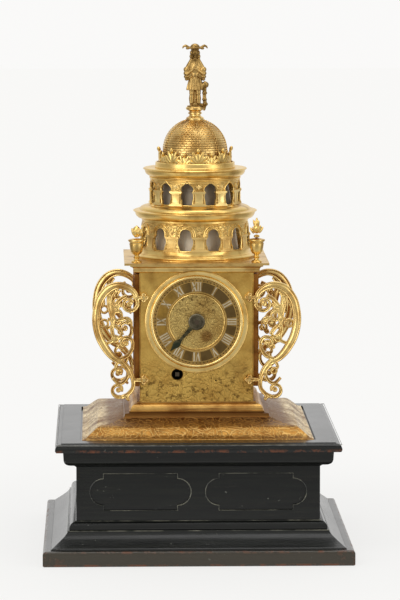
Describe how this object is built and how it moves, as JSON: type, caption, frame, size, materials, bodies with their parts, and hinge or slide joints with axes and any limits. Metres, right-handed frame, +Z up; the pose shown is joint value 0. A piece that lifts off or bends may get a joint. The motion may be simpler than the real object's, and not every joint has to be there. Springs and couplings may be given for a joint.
{
  "type": "tower table clock",
  "caption": "Table clock shaped as a square tower with scroll brackets, arcaded round galleries, a dome and a standing figure, on a moulded dark wooden base.",
  "frame": {"origin": "centre of the underside of the wooden base", "axes": "+Z up, +X to the right seen from the front, front with the dial towards -Y"},
  "size_m": [0.274, 0.274, 0.452],
  "materials": {
    "ebonised_wood": "glossy ebonised hardwood, worn to brown at the edges",
    "gilt_brass": "fire gilding, polished on the mouldings",
    "engraved_gilt": "engraved and gilded, with dark patina in the cuts",
    "red_gilt": "worn gilding over red copper",
    "pale_brass": "dull pale brass sheet",
    "figure_gilt": "cast, with dark patina in the hollows",
    "dial_bronze": "dark bronze ring with light figures",
    "blued_steel": "blued steel",
    "bright_steel": "polished steel",
    "movement_brass": "filed brass",
    "bell_metal": "cast bell metal, dull brown-grey",
    "gut": "twisted gut"
  },
  "bodies": {
    "case": {"plinth_foot_slab": "ebonised_wood", "plinth_base_moulding": "ebonised_wood", "plinth_body": "ebonised_wood", "plinth_cornice": "ebonised_wood", "plinth_top_board": "ebonised_wood", "base_skirt": "engraved_gilt", "base_step_moulding": "gilt_brass", "floor_plate": "movement_brass", "case_frame": "red_gilt", "front_plate": "engraved_gilt", "back_plate": "engraved_gilt", "door_hinge_pins": "bright_steel", "case_cornice": "gilt_brass", "top_plate": "pale_brass", "scroll_bracket_front_left": "gilt_brass", "scroll_bracket_front_right": "gilt_brass", "scroll_bracket_rear_left": "gilt_brass", "scroll_bracket_rear_right": "gilt_brass", "bracket_screws": "bright_steel", "urn_left": "gilt_brass", "urn_right": "gilt_brass", "lower_gallery_base_ring": "gilt_brass", "lower_gallery_wall": "engraved_gilt", "lower_gallery_cornice": "gilt_brass", "upper_gallery_wall": "engraved_gilt", "upper_gallery_cornice": "gilt_brass", "dome_band": "gilt_brass", "dome_cresting": "engraved_gilt", "dome": "engraved_gilt", "finial_pedestal": "gilt_brass", "finial_figure": "figure_gilt", "dial_bezel": "gilt_brass", "chapter_ring": "dial_bronze", "dial_centre": "engraved_gilt", "movement_front_plate": "movement_brass", "movement_middle_plate": "movement_brass", "movement_back_plate": "movement_brass", "movement_pillars": "movement_brass", "gut_line": "gut", "balance_cock": "movement_brass", "bell": "bell_metal", "bell_stand": "bright_steel"},
    "fusee_and_great_wheel": {"going_fusee": "movement_brass", "going_great_wheel": "movement_brass"},
    "spring_barrel": {"going_barrel": "movement_brass"},
    "hour_hand_and_wheel": {"hour_wheel": "movement_brass", "hour_hand": "blued_steel", "hand_collet": "blued_steel"},
    "second_wheel_arbor": {"second_wheel": "movement_brass"},
    "third_wheel_arbor": {"third_wheel": "movement_brass"},
    "crown_wheel_arbor": {"crown_wheel": "movement_brass"},
    "verge_and_balance": {"verge_balance": "bright_steel"},
    "strike_barrel_and_great_wheel": {"strike_barrel": "movement_brass"},
    "pin_wheel_arbor": {"strike_pin_wheel": "movement_brass"},
    "warning_wheel_arbor": {"strike_warning_wheel": "movement_brass"},
    "fly_arbor": {"strike_fly": "bright_steel"},
    "count_wheel_disc": {"count_wheel": "movement_brass"},
    "bell_hammer": {"hammer": "bright_steel"},
    "left_door": {"side_door_left": "red_gilt"},
    "right_door": {"side_door_right": "red_gilt"}
  },
  "joints": [
    {"name": "going_wind_turn", "type": "hinge", "parent": "case", "child": "fusee_and_great_wheel", "pos_m": [-0.0173, -0.02, 0.1586], "axis": [0, 1, 0], "continuous": true},
    {"name": "going_barrel_turn", "type": "hinge", "parent": "case", "child": "spring_barrel", "pos_m": [0.019, -0.02, 0.1586], "axis": [0, 1, 0], "continuous": true},
    {"name": "hour_hand_turn", "type": "hinge", "parent": "case", "child": "hour_hand_and_wheel", "pos_m": [0, -0.05, 0.206], "axis": [0, 1, 0], "continuous": true},
    {"name": "second_wheel_turn", "type": "hinge", "parent": "case", "child": "second_wheel_arbor", "pos_m": [-0.00942, -0.02, 0.18025], "axis": [0, 1, 0], "continuous": true},
    {"name": "third_wheel_turn", "type": "hinge", "parent": "case", "child": "third_wheel_arbor", "pos_m": [-0.01902, -0.02, 0.19688], "axis": [0, 1, 0], "continuous": true},
    {"name": "crown_wheel_turn", "type": "hinge", "parent": "case", "child": "crown_wheel_arbor", "pos_m": [-0.01503, -0.015, 0.21175], "axis": [0, 1, 0], "continuous": true},
    {"name": "balance_swing", "type": "hinge", "parent": "case", "child": "verge_and_balance", "pos_m": [-0.01503, -0.0273, 0.2385], "axis": [0, 0, 1], "range_deg": [-40, 40], "stiffness_Nm_per_rad": 0.0005},
    {"name": "strike_barrel_turn", "type": "hinge", "parent": "case", "child": "strike_barrel_and_great_wheel", "pos_m": [0.0173, 0.02, 0.1586], "axis": [0, 1, 0], "continuous": true},
    {"name": "strike_pin_wheel_turn", "type": "hinge", "parent": "case", "child": "pin_wheel_arbor", "pos_m": [0.00942, 0.02, 0.18025], "axis": [0, 1, 0], "continuous": true},
    {"name": "strike_warning_wheel_turn", "type": "hinge", "parent": "case", "child": "warning_wheel_arbor", "pos_m": [0.01902, 0.02, 0.19688], "axis": [0, 1, 0], "continuous": true},
    {"name": "strike_fly_turn", "type": "hinge", "parent": "case", "child": "fly_arbor", "pos_m": [0.01503, 0.02, 0.21175], "axis": [0, 1, 0], "continuous": true},
    {"name": "count_wheel_turn", "type": "hinge", "parent": "case", "child": "count_wheel_disc", "pos_m": [0, 0.048, 0.206], "axis": [0, 1, 0], "continuous": true},
    {"name": "hammer_lift", "type": "hinge", "parent": "case", "child": "bell_hammer", "pos_m": [-0.016, 0.02, 0.2], "axis": [0, 1, 0], "range_deg": [0, 12]},
    {"name": "left_door_swing", "type": "hinge", "parent": "case", "child": "left_door", "pos_m": [-0.0537, 0.0482, 0.1975], "axis": [0, 0, 1], "range_deg": [-88, 0]},
    {"name": "right_door_swing", "type": "hinge", "parent": "case", "child": "right_door", "pos_m": [0.0537, 0.0482, 0.1975], "axis": [0, 0, 1], "range_deg": [0, 88]}
  ],
  "couplings": [
    {"joint": "going_barrel_turn", "follows": "going_wind_turn", "ratio": 0.63226},
    {"joint": "hour_hand_turn", "follows": "going_wind_turn", "ratio": -0.33333},
    {"joint": "second_wheel_turn", "follows": "going_wind_turn", "ratio": -7},
    {"joint": "third_wheel_turn", "follows": "going_wind_turn", "ratio": 49},
    {"joint": "crown_wheel_turn", "follows": "going_wind_turn", "ratio": -294},
    {"joint": "strike_pin_wheel_turn", "follows": "strike_barrel_turn", "ratio": -7},
    {"joint": "strike_warning_wheel_turn", "follows": "strike_barrel_turn", "ratio": 49},
    {"joint": "strike_fly_turn", "follows": "strike_barrel_turn", "ratio": -294},
    {"joint": "count_wheel_turn", "follows": "strike_barrel_turn", "ratio": -0.33333}
  ]
}
